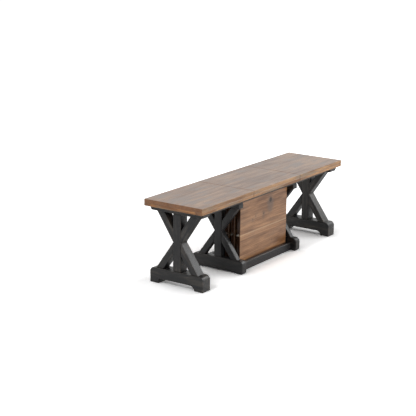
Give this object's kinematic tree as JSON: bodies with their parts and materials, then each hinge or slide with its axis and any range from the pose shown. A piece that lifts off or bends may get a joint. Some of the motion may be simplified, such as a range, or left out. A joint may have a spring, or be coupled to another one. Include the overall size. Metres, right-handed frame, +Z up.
{
  "type": "extending trestle bench",
  "caption": "Trestle bench whose ends slide apart on wooden rails to take the leaves stored upright in a rack under the seat.",
  "frame": {"origin": "on the floor, under the middle of the seat, with the ends closed up", "axes": "+X along the bench towards its right end, +Y from the front to the back, +Z up; the front is the long side that shows the show face of the first stored leaf"},
  "size_m": [1.4574, 0.366, 0.4572],
  "materials": {
    "seat_wood": "greyish brown stain under a satin lacquer, with knots and fine dark grain",
    "strip_wood": "same stain and lacquer as the seat, a little lighter, glued under its edges",
    "black_stain": "black stain under a satin lacquer, slightly worn on the edges",
    "rail_wood": "dark stained hardwood runners, waxed on the sliding faces",
    "screw_steel": "black oxide on the countersunk screws under the seat"
  },
  "bodies": {
    "base": {"centre_leaf_board": "seat_wood", "centre_leaf_back_strip": "strip_wood", "centre_leaf_front_strip": "strip_wood", "back_base_rail": "rail_wood", "front_base_rail": "rail_wood", "back_stretcher": "black_stain", "front_stretcher": "black_stain", "rack_floor": "black_stain", "left_inner_foot": "black_stain", "left_inner_post": "black_stain", "left_inner_back_lower_strut": "black_stain", "left_inner_front_lower_strut": "black_stain", "left_inner_back_upper_strut": "black_stain", "left_inner_front_upper_strut": "black_stain", "left_inner_cleat": "black_stain", "right_inner_foot": "black_stain", "right_inner_post": "black_stain", "right_inner_back_lower_strut": "black_stain", "right_inner_front_lower_strut": "black_stain", "right_inner_back_upper_strut": "black_stain", "right_inner_front_upper_strut": "black_stain", "right_inner_cleat": "black_stain"},
    "left_end": {"left_board": "seat_wood", "left_back_strip": "strip_wood", "left_front_strip": "strip_wood", "left_end_strip": "strip_wood", "left_back_rail": "rail_wood", "left_front_rail": "rail_wood", "left_outer_foot": "black_stain", "left_outer_post": "black_stain", "left_outer_back_lower_strut": "black_stain", "left_outer_front_lower_strut": "black_stain", "left_outer_back_upper_strut": "black_stain", "left_outer_front_upper_strut": "black_stain", "left_outer_cleat": "black_stain"},
    "right_end": {"right_board": "seat_wood", "right_back_strip": "strip_wood", "right_front_strip": "strip_wood", "right_end_strip": "strip_wood", "right_back_rail": "rail_wood", "right_front_rail": "rail_wood", "right_outer_foot": "black_stain", "right_outer_post": "black_stain", "right_outer_back_lower_strut": "black_stain", "right_outer_front_lower_strut": "black_stain", "right_outer_back_upper_strut": "black_stain", "right_outer_front_upper_strut": "black_stain", "right_outer_cleat": "black_stain"},
    "leaf_1": {"leaf_1_board": "seat_wood", "leaf_1_upper_strip": "strip_wood", "leaf_1_lower_strip": "strip_wood"},
    "leaf_2": {"leaf_2_board": "seat_wood", "leaf_2_upper_strip": "strip_wood", "leaf_2_lower_strip": "strip_wood"},
    "leaf_3": {"leaf_3_board": "seat_wood", "leaf_3_upper_strip": "strip_wood", "leaf_3_lower_strip": "strip_wood"},
    "leaf_4": {"leaf_4_board": "seat_wood", "leaf_4_upper_strip": "strip_wood", "leaf_4_lower_strip": "strip_wood"}
  },
  "joints": [
    {"name": "left_end_slide", "type": "slide", "parent": "base", "child": "left_end", "axis": [-1, 0, 0], "range_m": [0, 0.998]},
    {"name": "right_end_slide", "type": "slide", "parent": "base", "child": "right_end", "axis": [1, 0, 0], "range_m": [0, 0.998]},
    {"name": "leaf_1_lift", "type": "slide", "parent": "base", "child": "leaf_1", "axis": [0, 0, 1], "range_m": [0, 0.045]},
    {"name": "leaf_2_lift", "type": "slide", "parent": "base", "child": "leaf_2", "axis": [0, 0, 1], "range_m": [0, 0.045]},
    {"name": "leaf_3_lift", "type": "slide", "parent": "base", "child": "leaf_3", "axis": [0, 0, 1], "range_m": [0, 0.045]},
    {"name": "leaf_4_lift", "type": "slide", "parent": "base", "child": "leaf_4", "axis": [0, 0, 1], "range_m": [0, 0.045]}
  ]
}
